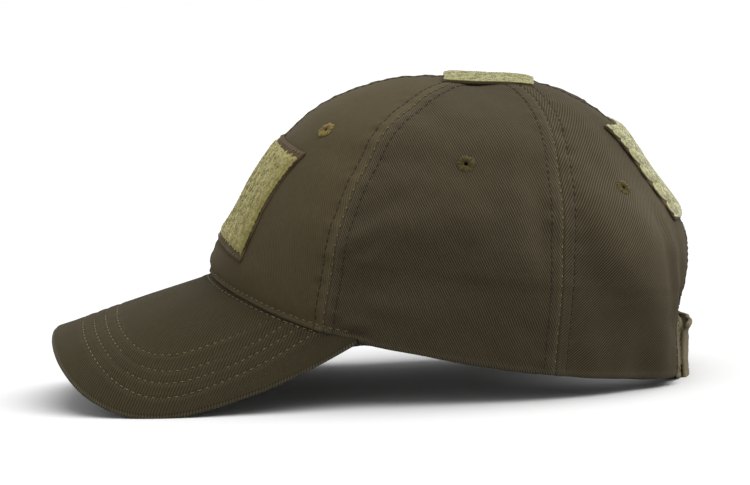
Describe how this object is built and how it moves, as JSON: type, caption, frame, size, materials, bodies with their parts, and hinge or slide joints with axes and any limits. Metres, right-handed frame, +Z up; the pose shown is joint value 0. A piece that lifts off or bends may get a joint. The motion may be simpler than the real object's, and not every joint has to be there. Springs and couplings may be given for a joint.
{
  "type": "tactical cap",
  "caption": "Soft panelled tactical cap with a curved stitched peak, loop patches on front, top and rear, eyelets, an inner sweatband and an open arched back closed by a lapped strap.",
  "frame": {"origin": "middle of the bounding box in plan, on the surface that the cap rests on", "axes": "+Z up, -Y towards the peak, +X the wearer's left; the cap stands on the peak's low sides and on the strap at the rear"},
  "size_m": [0.1716, 0.264, 0.13],
  "materials": {
    "crown_cloth": "matte cotton twill",
    "peak_cloth": "matte cotton twill",
    "lining_cloth": "matte cotton twill",
    "loop_backing": "matte woven tape",
    "loop_pile": "soft looped pile",
    "thread": "satin embroidery thread",
    "strap_cloth": "matte soft loop tape"
  },
  "bodies": {
    "root": {"front_panel_left": "crown_cloth", "front_panel_right": "crown_cloth", "side_panel_left": "crown_cloth", "side_panel_right": "crown_cloth", "rear_panel_left": "crown_cloth", "rear_panel_right": "crown_cloth", "eyelet_front_left": "thread", "eyelet_front_right": "thread", "eyelet_side_left": "thread", "eyelet_side_right": "thread", "eyelet_rear_left": "thread", "eyelet_rear_right": "thread", "peak_upper": "peak_cloth", "peak_under": "lining_cloth", "front_loop_backing": "loop_backing", "front_loop_pile": "loop_pile", "top_loop_backing": "loop_backing", "top_loop_pile": "loop_pile", "rear_loop_backing": "loop_backing", "rear_loop_pile": "loop_pile", "rear_opening_binding": "crown_cloth", "strap_inner": "strap_cloth", "strap_outer": "strap_cloth", "sweatband": "lining_cloth"}
  },
  "joints": []
}
